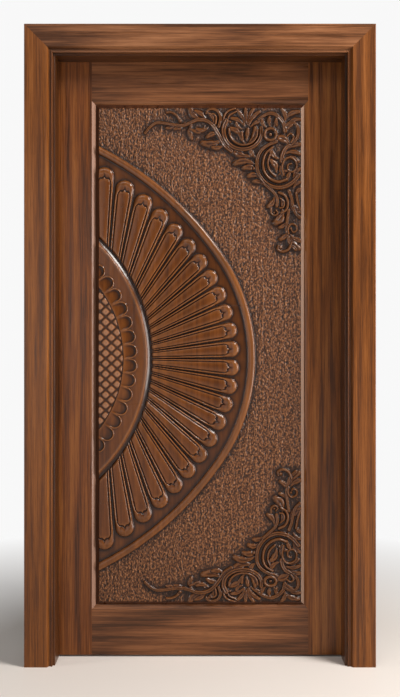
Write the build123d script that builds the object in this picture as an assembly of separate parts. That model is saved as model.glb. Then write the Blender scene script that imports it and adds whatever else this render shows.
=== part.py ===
from build123d import *
import math
import os

# Carved temple door: one panelled leaf hung in its own timber frame, with front and rear casing.
# Millimetres. X runs to the viewer's right, Y away from the viewer, Z up. The origin is on the
# floor, in the middle of the frame's width and depth. The leaf opens away from the viewer.

# Doorway and jambs
OPENING_WIDTH = 1000.0
OPENING_HEIGHT = 2105.0
JAMB_THICKNESS = 40.0
JAMB_DEPTH = 130.0
REBATE_STEP = 12.0
JAMB_ARRIS = 2.0

# Front casing, from the doorway outwards: a bead, a sunk fillet, a slope and a flat board
CASING_BEAD = 5.0
CASING_FILLET = 7.0
CASING_SLOPE = 6.0
CASING_FLAT = 78.0
CASING_THICKNESS = 20.0
CASING_BEAD_LEVEL = 9.5
CASING_FILLET_LEVEL = 8.0
CASING_SLOPE_FOOT = 10.0
CASING_ARRIS = 3.0
CASING_MARGIN = 8.0

# Rear casing: a plain board set clear of the hinge knuckles
REAR_CASING_THICKNESS = 18.0
REAR_CASING_MARGIN = 10.0

# Leaf
LEAF_THICKNESS = 40.0
SIDE_GAP = 3.0
HEAD_GAP = 3.0
FLOOR_GAP = 7.0
STOP_GAP = 1.0
STILE_WIDTH = 139.0
TOP_RAIL_WIDTH = 159.0
BOTTOM_RAIL_WIDTH = 175.0
STICKING_WIDTH = 13.0
STICKING_DEPTH = 10.0
STICKING_BREAK_WIDTH = 6.5
STICKING_BREAK_DEPTH = 4.0
REAR_STICKING = 6.0
TENON_LENGTH = 90.0
TENON_THICKNESS = 12.0
TENON_SETBACK = 30.0
TENON_END_GAP = 2.0

# Panel
GROOVE_FRONT = 14.0
GROOVE_WIDTH = 12.0
GROOVE_DEPTH = 13.0
TONGUE_END_GAP = 2.0
TONGUE_PLAY = 0.2
SHOULDER_GAP = 0.5
PANEL_BEVEL = 12.0
GROUND_DEPTH = 3.0
REAR_FIELD_SLOPE = 40.0
REAR_FIELD_DEPTH = 4.0

# Half sunburst, cut off by the left edge of the panel
SUN_AXIS_Z = 1056.0
RING_REACH = 169.0
RING_CROWN_R = 622.0
RING_CROWN_HALF_ANGLE = 34.0
RING_FLANK_R = 1137.0
RING_FLANK_SWEEP = 34.0
RING_WIDTH = 27.0
RING_HEIGHT = 8.0
BEAD_CUTS = 5
PETAL_COUNT = 24
PETAL_FOCUS_X = -351.0
PETAL_PITCH = 8.2
PETAL_PITCH_LOSS = 1.4
PETAL_RING_GAP = 30.0
PETAL_FILL = 0.88
PETAL_HEIGHT = 8.0
PETAL_SLOPE = 3.0
TIP_CUTS = 6
POCKET_FILL = 0.64
POCKET_DEPTH = 6.0
PETAL_LIP = 30.0
TONGUE_FILL = 0.56
TONGUE_HEIGHT = 6.0
TONGUE_SLOPE = 4.5
TONGUE_LIP = 33.0
TONGUE_CUSP = 9.0
BOSS_R = 579.0
BOSS_REACH = -173.0
BOSS_EDGE = 16.0
BOSS_HEIGHT = 10.0
SCALLOP_COUNT = 14
SCALLOP_CIRCLE_R = 469.0
SCALLOP_REACH = -247.0
SCALLOP_R = 26.0
SCALLOP_PITCH = 51.5
SCALLOP_HEIGHT = 3.5
HOLLOW_R = 21.0
HOLLOW_FLOOR_R = 9.0
HOLLOW_CUTS = 10
HOLLOW_DEPTH = 5.0
HOLLOW_INSET = 5.0
LATTICE_R = 407.0
LATTICE_REACH = -271.0
LATTICE_MARGIN = 2.0
LATTICE_DEPTH = 4.0
LATTICE_PITCH_X = 40.5
LATTICE_PITCH_Z = 36.7
LATTICE_CELL_X = -334.0
LATTICE_CELL_Z = 1038.0
LATTICE_GROOVE = 9.0

# Scrolls in the right-hand corners, measured inwards and down from the field's top right corner.
# A strand is an arc: centre, radius, first angle, sweep and width. A leaf: middle, length, width, turn.
SCROLL_HEIGHT = 7.0
SCROLL_LOWER_SHIFT = 40.0
LEAF_CREST = 2.0
SCROLL_STRANDS = [
    (81, 203, 68, 126, 196, 13),
    (81, 203, 54, 135, 172, 10),
    (66, 199, 34, 150, 230, 10),
    (207, 79, 63, 175, 190, 13),
    (74, 348, 25, -60, 200, 9),
    (10, 352, 39, 100, 170, 9),
]
SCROLL_LEAVES = [
    (233, 174, 55, 16, 150),
    (198, 188, 55, 16, 110),
    (169, 224, 50, 15, 100),
    (102, 188, 40, 14, 60),
    (42, 224, 36, 12, 120),
    (20, 288, 50, 14, 100),
    (106, 370, 40, 12, 60),
]
CREST_STRANDS = [
    (207, 79, 49, 180, 180, 10),
    (109, 93, 20, 0, 360, 9),
    (49, 86, 39, -60, 160, 11),
    (77, 398, 21, 170, 200, 8),
    (6, 458, 42, 160, 90, 8),
    (340, 103, 64, -30, 173, 11),
    (344, 114, 45, 30, 130, 9),
    (141, 338, 53, 10, 60, 8),
    (35, 427, 14, 0, 360, 8),
    (440, -32, 89, 243, 55, 9),
    (326, 50, 35, -10, 110, 8),
]
CREST_LEAVES = [
    (315, 118, 60, 18, -15),
    (59, 465, 40, 12, 80),
    (230, 43, 50, 14, 145),
    (209, 32, 50, 14, 110),
    (184, 32, 50, 14, 75),
    (159, 39, 50, 14, 40),
    (95, 29, 45, 14, 20),
    (45, 27, 40, 14, -10),
    (422, 89, 35, 12, 160),
    (450, 25, 45, 12, -25),
]

# Butt hinges
HINGE_LENGTH = 100.0
HINGE_FLAP = 2.5
HINGE_FLAP_REACH = 36.0
KNUCKLE_R = 6.5
KNUCKLE_SET_BACK = 7.0
KNUCKLE_COUNT = 3
KNUCKLE_GAP = 0.4
FLAP_RELIEF = 0.6
PIN_R = 3.0
PIN_PLAY = 0.05
PIN_HEAD_R = 5.0
PIN_HEAD_HEIGHT = 3.0
PIN_TAIL = 2.0
HINGE_TOP_DROP = 180.0
HINGE_BOTTOM_RISE = 250.0

# Frame fixings through the rebate, hidden behind the closed leaf
ANCHOR_R = 4.5
ANCHOR_COUNT = 4
ANCHOR_SPACING = 560.0
ANCHOR_FIRST_Z = 130.0
ANCHOR_FROM_REAR = 20.0

# Places worked out from the sizes
CASING_WIDTH = CASING_BEAD + CASING_FILLET + CASING_SLOPE + CASING_FLAT
TOTAL_DEPTH = CASING_THICKNESS + JAMB_DEPTH + REAR_CASING_THICKNESS
FRONT_Y = -TOTAL_DEPTH / 2
JAMB_FRONT_Y = FRONT_Y + CASING_THICKNESS
JAMB_REAR_Y = JAMB_FRONT_Y + JAMB_DEPTH
REAR_Y = JAMB_REAR_Y + REAR_CASING_THICKNESS
LEAF_FRONT_Y = JAMB_REAR_Y - LEAF_THICKNESS
STOP_Y = LEAF_FRONT_Y - STOP_GAP

HALF_OPENING = OPENING_WIDTH / 2
REBATE_X = HALF_OPENING + REBATE_STEP
REBATE_Z = OPENING_HEIGHT + REBATE_STEP
JAMB_OUTER_X = HALF_OPENING + JAMB_THICKNESS
JAMB_TOP_Z = OPENING_HEIGHT + JAMB_THICKNESS
CASING_INNER_X = HALF_OPENING + CASING_MARGIN
CASING_INNER_Z = OPENING_HEIGHT + CASING_MARGIN
CASING_OUTER_X = CASING_INNER_X + CASING_WIDTH
CASING_OUTER_Z = CASING_INNER_Z + CASING_WIDTH
REAR_CASING_X = REBATE_X + REAR_CASING_MARGIN
REAR_CASING_Z = REBATE_Z + REAR_CASING_MARGIN

LEAF_X = REBATE_X - SIDE_GAP
LEAF_BOTTOM = FLOOR_GAP
LEAF_TOP = REBATE_Z - HEAD_GAP
LIGHT_X = LEAF_X - STILE_WIDTH
LIGHT_BOTTOM = LEAF_BOTTOM + BOTTOM_RAIL_WIDTH
LIGHT_TOP = LEAF_TOP - TOP_RAIL_WIDTH
STICKING_X = LIGHT_X + STICKING_WIDTH
STICKING_BOTTOM = LIGHT_BOTTOM - STICKING_WIDTH
STICKING_TOP = LIGHT_TOP + STICKING_WIDTH

FIELD_X = LIGHT_X - PANEL_BEVEL
FIELD_BOTTOM = LIGHT_BOTTOM + PANEL_BEVEL
FIELD_TOP = LIGHT_TOP - PANEL_BEVEL
GROUND_Y = LEAF_FRONT_Y + GROUND_DEPTH

HINGE_X = -REBATE_X + SIDE_GAP / 2
HINGE_Y = JAMB_REAR_Y + KNUCKLE_SET_BACK
HINGE_TOP_Z = LEAF_TOP - HINGE_TOP_DROP
HINGE_BOTTOM_Z = LEAF_BOTTOM + HINGE_BOTTOM_RISE
HINGE_CENTRES = {
    "top": HINGE_TOP_Z,
    "middle": (HINGE_TOP_Z + HINGE_BOTTOM_Z) / 2,
    "bottom": HINGE_BOTTOM_Z,
}

# The ground of the carving as a drawing board: local X is X, local Y is Z, and height above it is
# towards the viewer. Carved forms start SINK below it, so that they grow out of the panel.
FACE = Plane(origin=(0, GROUND_Y, 0), x_dir=(1, 0, 0), z_dir=(0, -1, 0))
SINK = 1.0


def block(x0, x1, y0, y1, z0, z1):
    """A box between two corners."""
    centre = Pos((x0 + x1) / 2, (y0 + y1) / 2, (z0 + z1) / 2)
    return centre * Box(x1 - x0, y1 - y0, z1 - z0)


def outline_prism(points):
    """A prism through the whole depth of the door, over an outline of (x, z) points."""
    face = Plane(origin=(0, 0, 0), x_dir=(1, 0, 0), z_dir=(0, -1, 0)) * make_face(Polyline(*points, close=True))
    return extrude(face, TOTAL_DEPTH, both=True)


# Frame


def anchor_holes():
    """The fixing holes through one side jamb's rebate."""
    holes = []
    for index in range(ANCHOR_COUNT):
        centre = (REBATE_X, JAMB_REAR_Y - ANCHOR_FROM_REAR, ANCHOR_FIRST_Z + index * ANCHOR_SPACING)
        holes.append(Pos(*centre) * Rot(0, 90, 0) * Cylinder(ANCHOR_R, 4 * JAMB_THICKNESS))
    return holes


def side_jamb():
    """The right jamb: rebated at the rear, and housed at the top for the head."""
    jamb = block(HALF_OPENING, JAMB_OUTER_X, JAMB_FRONT_Y, JAMB_REAR_Y, 0, JAMB_TOP_Z)
    inner = jamb.faces().sort_by(Axis.X)[0]
    arris = inner.edges().filter_by(Axis.Z).sort_by(Axis.Y)[0]
    jamb = fillet(arris, JAMB_ARRIS)
    jamb -= block(HALF_OPENING - 1, REBATE_X, STOP_Y, REAR_Y, -1, JAMB_TOP_Z + 1)
    jamb -= block(HALF_OPENING - 1, REBATE_X, FRONT_Y, REAR_Y, OPENING_HEIGHT, JAMB_TOP_Z + 1)
    return jamb - anchor_holes()


def hinge_jamb():
    """The left jamb, with a pocket for each frame flap."""
    jamb = mirror(side_jamb(), about=Plane.YZ)
    for z in HINGE_CENTRES.values():
        jamb -= block(-REBATE_X - HINGE_FLAP, -REBATE_X + 1, JAMB_REAR_Y - HINGE_FLAP_REACH, REAR_Y,
                      z - HINGE_LENGTH / 2, z + HINGE_LENGTH / 2)
    return jamb


def head_jamb():
    """The head: rebated like the sides, with its ends in their housings."""
    head = block(-REBATE_X, REBATE_X, JAMB_FRONT_Y, JAMB_REAR_Y, OPENING_HEIGHT, JAMB_TOP_Z)
    under = head.faces().sort_by(Axis.Z)[0]
    arris = under.edges().filter_by(Axis.X).sort_by(Axis.Y)[0]
    head = fillet(arris, JAMB_ARRIS)
    return head - block(-REBATE_X - 1, REBATE_X + 1, STOP_Y, REAR_Y, OPENING_HEIGHT - 1, REBATE_Z)


def front_casing_section():
    """Local X runs out from the doorway and local Y out from the wall."""
    bead_r = CASING_BEAD / 2
    fillet_end = CASING_BEAD + CASING_FILLET
    slope_end = fillet_end + CASING_SLOPE
    arris_x = CASING_WIDTH - CASING_ARRIS
    arris_y = CASING_THICKNESS - CASING_ARRIS
    bead = ThreePointArc((0, CASING_BEAD_LEVEL), (bead_r, CASING_BEAD_LEVEL + bead_r),
                         (CASING_BEAD, CASING_BEAD_LEVEL))
    steps = Polyline((CASING_BEAD, CASING_BEAD_LEVEL), (CASING_BEAD, CASING_FILLET_LEVEL),
                     (fillet_end, CASING_FILLET_LEVEL), (fillet_end, CASING_SLOPE_FOOT),
                     (slope_end, CASING_THICKNESS), (arris_x, CASING_THICKNESS))
    edge = CenterArc((arris_x, arris_y), CASING_ARRIS, 0, 90)
    back = Polyline((CASING_WIDTH, arris_y), (CASING_WIDTH, 0), (0, 0), (0, CASING_BEAD_LEVEL))
    return make_face([bead, steps, edge, back])


def rear_casing_section():
    """A plain board with both front corners eased."""
    width = CASING_OUTER_X - REAR_CASING_X
    board = Pos(width / 2, REAR_CASING_THICKNESS / 2) * Rectangle(width, REAR_CASING_THICKNESS)
    return fillet(board.vertices().sort_by(Axis.Y)[2:], CASING_ARRIS)


def casing(section, inner_x, inner_z, back_y, towards):
    """The right leg and the head of a casing, mitred; towards is -1 for the viewer's side."""
    leg_plane = Plane((inner_x, back_y, 0), x_dir=(1, 0, 0), z_dir=(0, 0, towards))
    head_plane = Plane((0, back_y, inner_z), x_dir=(0, 0, 1), z_dir=(-towards, 0, 0))
    leg = extrude(leg_plane * section, towards * CASING_OUTER_Z)
    head = extrude(head_plane * section, CASING_OUTER_X, both=True)
    leg_outline = [(inner_x, 0), (CASING_OUTER_X, 0), (CASING_OUTER_X, CASING_OUTER_Z), (inner_x, inner_z)]
    head_outline = [(-inner_x, inner_z), (inner_x, inner_z), (CASING_OUTER_X, CASING_OUTER_Z),
                    (-CASING_OUTER_X, CASING_OUTER_Z)]
    return leg & outline_prism(leg_outline), head & outline_prism(head_outline)


# Leaf


def light_rectangle(depth, out):
    """The edge of the leaf's light, moved out by so much, at a depth behind the leaf's front."""
    plane = Plane((0, LEAF_FRONT_Y + depth, (LIGHT_TOP + LIGHT_BOTTOM) / 2), x_dir=(1, 0, 0), z_dir=(0, -1, 0))
    return plane * Rectangle(2 * (LIGHT_X + out), LIGHT_TOP - LIGHT_BOTTOM + 2 * out)


def between(*sections):
    """A solid with flat sides through parallel rectangles."""
    return loft(list(sections), ruled=True)


def leaf_border():
    """Stiles and rails as one border: the bevelled light, with the groove for the panel."""
    border = block(-LEAF_X, LEAF_X, LEAF_FRONT_Y, JAMB_REAR_Y, LEAF_BOTTOM, LEAF_TOP)
    break_out = STICKING_WIDTH - STICKING_BREAK_WIDTH
    border -= between(light_rectangle(0, STICKING_WIDTH), light_rectangle(STICKING_BREAK_DEPTH, break_out))
    border -= between(light_rectangle(STICKING_BREAK_DEPTH, break_out), light_rectangle(STICKING_DEPTH, 0))
    border -= between(light_rectangle(STICKING_DEPTH, 0), light_rectangle(LEAF_THICKNESS, 0))
    border -= between(light_rectangle(LEAF_THICKNESS - REAR_STICKING, 0),
                      light_rectangle(LEAF_THICKNESS, REAR_STICKING))
    return border - between(light_rectangle(GROOVE_FRONT, GROOVE_DEPTH),
                            light_rectangle(GROOVE_FRONT + GROOVE_WIDTH, GROOVE_DEPTH))


def tenon(side, rail_bottom, rail_top, length):
    """A tenon in line with the groove, from the shoulder into a stile; side is -1 or 1."""
    shoulder = STICKING_X - SINK
    x0, x1 = sorted((side * shoulder, side * (STICKING_X + length)))
    front = LEAF_FRONT_Y + GROOVE_FRONT
    return block(x0, x1, front, front + TENON_THICKNESS, rail_bottom, rail_top)


def tenon_heights():
    """Bottom and top of the tenons of the two rails."""
    bottom_rail = (LEAF_BOTTOM + TENON_SETBACK, STICKING_BOTTOM - TENON_SETBACK / 2)
    top_rail = (STICKING_TOP + TENON_SETBACK / 2, LEAF_TOP - TENON_SETBACK)
    return bottom_rail, top_rail


def stile(border):
    """The right stile: the full height of the leaf, with its bevel mitred into the rails'."""
    outline = [(STICKING_X, LEAF_BOTTOM), (LEAF_X, LEAF_BOTTOM), (LEAF_X, LEAF_TOP), (STICKING_X, LEAF_TOP),
               (STICKING_X, STICKING_TOP), (LIGHT_X, LIGHT_TOP), (LIGHT_X, LIGHT_BOTTOM),
               (STICKING_X, STICKING_BOTTOM)]
    piece = border & outline_prism(outline)
    return piece - [tenon(1, *heights, TENON_LENGTH + TENON_END_GAP) for heights in tenon_heights()]


def hinge_stile(border):
    """The left stile, with a pocket for each leaf flap."""
    piece = mirror(stile(border), about=Plane.YZ)
    for z in HINGE_CENTRES.values():
        piece -= block(-LEAF_X - 1, -LEAF_X + HINGE_FLAP, JAMB_REAR_Y - HINGE_FLAP_REACH, REAR_Y,
                       z - HINGE_LENGTH / 2, z + HINGE_LENGTH / 2)
    return piece


def rail(border, outer_z, sticking_z, light_z, heights):
    """A rail between the stiles, with its bevel mitred at both ends and a tenon on each."""
    outline = [(-STICKING_X, outer_z), (STICKING_X, outer_z), (STICKING_X, sticking_z), (LIGHT_X, light_z),
               (-LIGHT_X, light_z), (-STICKING_X, sticking_z)]
    piece = border & outline_prism(outline)
    return piece + [tenon(side, *heights, TENON_LENGTH) for side in (-1, 1)]


# Carved panel


def panel_blank():
    """The panel before carving: bevelled front, tongue all round, raised and fielded rear."""
    field = between(light_rectangle(STICKING_DEPTH, -SHOULDER_GAP), light_rectangle(GROUND_DEPTH, -PANEL_BEVEL))
    core = between(light_rectangle(STICKING_DEPTH, -SHOULDER_GAP), light_rectangle(GROOVE_FRONT + GROOVE_WIDTH, -SHOULDER_GAP))
    tongue_out = GROOVE_DEPTH - TONGUE_END_GAP
    tongue = between(light_rectangle(GROOVE_FRONT + TONGUE_PLAY, tongue_out),
                     light_rectangle(GROOVE_FRONT + GROOVE_WIDTH - TONGUE_PLAY, tongue_out))
    rear = between(light_rectangle(GROOVE_FRONT + GROOVE_WIDTH, -SHOULDER_GAP),
                   light_rectangle(LEAF_THICKNESS - REAR_FIELD_DEPTH, -REAR_FIELD_SLOPE))
    return field + core + tongue + rear


def bevelled(outline, low, high, slope):
    """A solid over an outline whose sides lean in by so much between two heights."""
    taper = math.degrees(math.atan(slope / (high - low)))
    return extrude(Pos(0, 0, low) * outline, high - low, taper=taper)


def ring_arc(centre, radius, start, sweep, section):
    """A section, drawn with X out from the centre and Y up, carried round an arc on the face."""
    turn = math.radians(start)
    plane = Plane(origin=(*centre, 0), x_dir=(math.cos(turn), math.sin(turn), 0),
                  z_dir=(math.sin(turn), -math.cos(turn), 0))
    return revolve(plane * (Pos(radius, 0) * section), Axis((*centre, 0), (0, 0, 1)), sweep)


def bead_section(width, height):
    """The section of a bead standing on the ground, rounded by flat gouge cuts."""
    turns = [math.pi * (1 - step / BEAD_CUTS) for step in range(BEAD_CUTS + 1)]
    crown = [(width / 2 * math.cos(turn), height * math.sin(turn)) for turn in turns]
    foot = [(width / 2, -SINK), (-width / 2, -SINK)]
    return make_face(Polyline(*crown, *foot, close=True))


def ring_centres():
    """The centre of the ring's crown arc, and of its upper and lower flank arcs."""
    crown = (RING_REACH - RING_CROWN_R, SUN_AXIS_Z)
    turn = math.radians(RING_CROWN_HALF_ANGLE)
    back = RING_FLANK_R - RING_CROWN_R
    flanks = [(crown[0] - back * math.cos(turn), crown[1] - side * back * math.sin(turn)) for side in (1, -1)]
    return crown, flanks[0], flanks[1]


def bead_ring():
    """The half-round bead round the sunburst, in three arcs that meet smoothly."""
    section = bead_section(RING_WIDTH, RING_HEIGHT)
    crown, upper, lower = ring_centres()
    out = RING_WIDTH / 2
    half = RING_CROWN_HALF_ANGLE
    ring = ring_arc(crown, RING_CROWN_R + out, -half, 2 * half, section)
    ring += ring_arc(upper, RING_FLANK_R + out, half, RING_FLANK_SWEEP, section)
    return ring + ring_arc(lower, RING_FLANK_R + out, -half - RING_FLANK_SWEEP, RING_FLANK_SWEEP, section)


def ray_to_circle(angle, centre, radius):
    """How far from the petals' focus a ray at this angle leaves a circle."""
    dx = PETAL_FOCUS_X - centre[0]
    dz = SUN_AXIS_Z - centre[1]
    along = dx * math.cos(angle) + dz * math.sin(angle)
    return math.sqrt(along ** 2 - dx ** 2 - dz ** 2 + radius ** 2) - along


def petal_reach(angle):
    """The distance from the focus to a petal's tip, which keeps its gap to the bead ring."""
    crown, upper, lower = ring_centres()
    reach = ray_to_circle(angle, crown, RING_CROWN_R - PETAL_RING_GAP)
    tip_x = PETAL_FOCUS_X + reach * math.cos(angle) - crown[0]
    tip_z = reach * math.sin(angle)
    if abs(math.degrees(math.atan2(tip_z, tip_x))) <= RING_CROWN_HALF_ANGLE:
        return reach
    flank = upper if angle > 0 else lower
    return ray_to_circle(angle, flank, RING_FLANK_R - PETAL_RING_GAP)


def petal_outline(start, reach, half_angle):
    """A wedge from the focus along local X, with a tip rounded by flat cuts."""
    centre = reach / (1 + math.sin(half_angle))
    radius = reach - centre
    first = half_angle - math.pi / 2
    turns = [first * (1 - 2 * step / TIP_CUTS) for step in range(TIP_CUTS + 1)]
    tip = [(centre + radius * math.cos(turn), radius * math.sin(turn)) for turn in turns]
    near = start * math.tan(half_angle)
    return make_face(Polyline((start, -near), *tip, (start, near), close=True))


def cusped_outline(start, reach, half_angle):
    """A wedge from the focus that ends in two shoulders and a small cusp."""
    near = start * math.tan(half_angle)
    end = reach - TONGUE_CUSP
    half = end * math.tan(half_angle)
    return make_face(Polyline((start, -near), (end - half, -half), (end, -half / 2), (reach, 0), (end, half / 2),
                              (end - half, half), (start, near), close=True))


def petal(angle, half_pitch):
    """One petal along local X: a raised rim round a pocket, and a bevelled tongue in the pocket."""
    start = ray_to_circle(angle, (BOSS_REACH - BOSS_R, SUN_AXIS_Z), BOSS_R - BOSS_EDGE) - SINK
    reach = petal_reach(angle)
    floor = PETAL_HEIGHT - POCKET_DEPTH
    rim_outline = petal_outline(start, reach, half_pitch * PETAL_FILL)
    pocket_outline = cusped_outline(start, reach - PETAL_LIP, half_pitch * POCKET_FILL)
    tongue_outline = cusped_outline(start, reach - TONGUE_LIP, half_pitch * TONGUE_FILL)
    rim = bevelled(rim_outline, -SINK, PETAL_HEIGHT, PETAL_SLOPE)
    pocket = extrude(Pos(0, 0, floor) * pocket_outline, PETAL_HEIGHT)
    tongue = bevelled(tongue_outline, floor - SINK, floor + TONGUE_HEIGHT, TONGUE_SLOPE)
    return Pos(PETAL_FOCUS_X, SUN_AXIS_Z, 0) * Rot(0, 0, math.degrees(angle)) * (rim - pocket + tongue)


def petals():
    """The fan of petals: the pitch falls off a little towards both ends."""
    last = (PETAL_COUNT - 1) / 2
    fan = []
    for index in range(PETAL_COUNT):
        step = last - index
        angle = PETAL_PITCH * step - PETAL_PITCH_LOSS * step ** 3 / (3 * last ** 2)
        pitch = PETAL_PITCH - PETAL_PITCH_LOSS * (step / last) ** 2
        fan.append(petal(math.radians(angle), math.radians(pitch / 2)))
    return fan


def boss():
    """The raised middle: a disc with a sloping edge, under the scallops and the lattice."""
    height = BOSS_HEIGHT + SINK
    slope = BOSS_EDGE / BOSS_HEIGHT
    disc = Cone(BOSS_R + SINK * slope, BOSS_R - BOSS_EDGE, height)
    return Pos(BOSS_REACH - BOSS_R, SUN_AXIS_Z, height / 2 - SINK) * disc


def scallop_angles():
    """Where the lobes stand round their circle, in degrees from the axis."""
    step = math.degrees(SCALLOP_PITCH / SCALLOP_CIRCLE_R)
    return [(index - (SCALLOP_COUNT - 1) / 2) * step for index in range(SCALLOP_COUNT)]


def round_the_scallops(piece):
    """Copies of a piece, drawn at the origin, at the root of every lobe."""
    place = Pos(SCALLOP_REACH - SCALLOP_CIRCLE_R, SUN_AXIS_Z, BOSS_HEIGHT)
    return [place * Rot(0, 0, angle) * Pos(SCALLOP_CIRCLE_R, 0) * piece for angle in scallop_angles()]


def scallop_layer():
    """A thin layer on the boss with a lobed edge."""
    height = SCALLOP_HEIGHT + SINK
    middle = (SCALLOP_HEIGHT - SINK) / 2
    disc = Pos(SCALLOP_REACH - SCALLOP_CIRCLE_R, SUN_AXIS_Z, BOSS_HEIGHT + middle) * Cylinder(SCALLOP_CIRCLE_R, height)
    return disc + round_the_scallops(Pos(0, 0, middle) * Cylinder(SCALLOP_R, height))


def scallop_hollows():
    """The thumb-shaped hollow in each lobe."""
    rim = RegularPolygon(HOLLOW_R, HOLLOW_CUTS)
    dish = Rot(180, 0, 0) * bevelled(rim, 0, HOLLOW_DEPTH, HOLLOW_R - HOLLOW_FLOOR_R)
    return round_the_scallops(Pos(-HOLLOW_INSET, 0, SCALLOP_HEIGHT) * dish)


def lattice_grooves(turn):
    """Parallel V-grooves across the lattice; turn is the direction that they run in."""
    diagonal = math.hypot(LATTICE_PITCH_X, LATTICE_PITCH_Z)
    spacing = LATTICE_PITCH_X * LATTICE_PITCH_Z / diagonal
    half = LATTICE_GROOVE / 2
    slope = half / LATTICE_DEPTH
    lip = half + SINK * slope
    section = Plane.XZ * make_face(Polyline((0, -LATTICE_DEPTH), (lip, SINK), (-lip, SINK), close=True))
    groove = Pos(0, 0, BOSS_HEIGHT + SCALLOP_HEIGHT) * extrude(section, LATTICE_R, both=True)
    count = math.ceil(LATTICE_R / spacing)
    place = Pos(LATTICE_CELL_X, LATTICE_CELL_Z) * Rot(0, 0, turn)
    return [place * Pos((index + 0.5) * spacing, 0) * groove for index in range(-count, count)]


def lattice():
    """The cushioned diamonds: a plate with V-grooves along both diagonals."""
    top = BOSS_HEIGHT + SCALLOP_HEIGHT
    centre_x = LATTICE_REACH - LATTICE_R
    plate = Pos(centre_x, SUN_AXIS_Z, top - LATTICE_DEPTH / 2) * Cylinder(LATTICE_R - LATTICE_MARGIN, LATTICE_DEPTH)
    plate &= block(-FIELD_X, LATTICE_REACH, SUN_AXIS_Z - LATTICE_R, SUN_AXIS_Z + LATTICE_R, 0, 2 * top)
    lean = math.degrees(math.atan2(LATTICE_PITCH_Z, LATTICE_PITCH_X))
    return plate - lattice_grooves(90 + lean) - lattice_grooves(90 - lean)


def lattice_pocket():
    """The round recess that the lattice stands in."""
    top = BOSS_HEIGHT + SCALLOP_HEIGHT
    return Pos(LATTICE_REACH - LATTICE_R, SUN_AXIS_Z, top) * Cylinder(LATTICE_R, 2 * LATTICE_DEPTH)


def sunburst():
    """Boss, scallops, lattice, petals and bead ring, over the full height of the drawing."""
    middle = boss() + scallop_layer() - scallop_hollows() - lattice_pocket()
    return [middle, lattice(), bead_ring()] + petals()


def ridge(width):
    """The section of a scroll's strand: two gouged slopes that meet in a crest."""
    half = width / 2
    return make_face(Polyline((-half, 0), (0, SCROLL_HEIGHT), (half, 0), (half, -SINK), (-half, -SINK), close=True))


def scroll_strand(inwards, down, radius, start, sweep, width):
    """A strand round an arc; its centre is measured from the top right corner of the field."""
    return ring_arc((FIELD_X - inwards, FIELD_TOP - down), radius, start, sweep, ridge(width))


def scroll_leaf(inwards, down, length, width, turn):
    """A leaf with bevelled sides and a narrow crest, lying at an angle; placed from the same corner."""
    end = length / 2
    waist = length / 6
    side = width / 2
    outline = Polyline((-end, 0), (-waist, -side), (waist, -side), (end, 0), (waist, side), (-waist, side), close=True)
    leaf = bevelled(make_face(outline), -SINK, SCROLL_HEIGHT, side - LEAF_CREST / 2)
    return Pos(FIELD_X - inwards, FIELD_TOP - down, 0) * Rot(0, 0, turn) * leaf


def scrollwork():
    """The upper scrolls, and the lower ones: the same scrolls turned over, nearer their corner."""
    shared = [scroll_strand(*strand) for strand in SCROLL_STRANDS]
    shared += [scroll_leaf(*leaf) for leaf in SCROLL_LEAVES]
    crest = [scroll_strand(*strand) for strand in CREST_STRANDS]
    crest += [scroll_leaf(*leaf) for leaf in CREST_LEAVES]
    turned = Pos(0, FIELD_TOP + FIELD_BOTTOM - SCROLL_LOWER_SHIFT, 0) * Compound(shared).mirror(Plane.XZ)
    return shared + crest + turned.solids()


def carved_panel():
    """The panel with its carving, which is cut off at the edges of the field."""
    field = block(-FIELD_X, FIELD_X, FIELD_BOTTOM, FIELD_TOP, -SINK, 4 * BOSS_HEIGHT)
    carving = [piece & field for piece in sunburst() + scrollwork()]
    return panel_blank() + [FACE * piece for piece in carving]


# Hinges


def knuckles(z, first):
    """Every second knuckle of a hinge, from the first one up, as (bottom, top)."""
    pitch = HINGE_LENGTH / KNUCKLE_COUNT
    low = z - HINGE_LENGTH / 2
    return [(low + index * pitch + KNUCKLE_GAP / 2, low + (index + 1) * pitch - KNUCKLE_GAP / 2)
            for index in range(first, KNUCKLE_COUNT, 2)]


def flap(z, face_x, outwards, first):
    """A hinge flap let in flush with face_x, rolled round the pin at its own knuckles."""
    x0, x1 = sorted((face_x, face_x - outwards * HINGE_FLAP))
    low = z - HINGE_LENGTH / 2
    plate = block(x0, x1, JAMB_REAR_Y - HINGE_FLAP_REACH, HINGE_Y - KNUCKLE_R - FLAP_RELIEF, low, low + HINGE_LENGTH)
    for bottom, top in knuckles(z, first):
        plate += block(x0, x1, JAMB_REAR_Y - FLAP_RELIEF - SINK, HINGE_Y, bottom, top)
        plate += Pos(HINGE_X, HINGE_Y, (bottom + top) / 2) * Cylinder(KNUCKLE_R, top - bottom)
    return plate - Pos(HINGE_X, HINGE_Y, z) * Cylinder(PIN_R + PIN_PLAY, 2 * HINGE_LENGTH)


def hinge_pin(z):
    """A pin with a flat head above the top knuckle and a short tail below the last."""
    low = z - HINGE_LENGTH / 2 - PIN_TAIL
    high = z + HINGE_LENGTH / 2
    shaft = Pos(HINGE_X, HINGE_Y, (low + high) / 2) * Cylinder(PIN_R, high - low)
    head = Pos(HINGE_X, HINGE_Y, high + PIN_HEAD_HEIGHT / 2) * Cylinder(PIN_HEAD_R, PIN_HEAD_HEIGHT)
    return shaft + head


# Assembly


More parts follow.
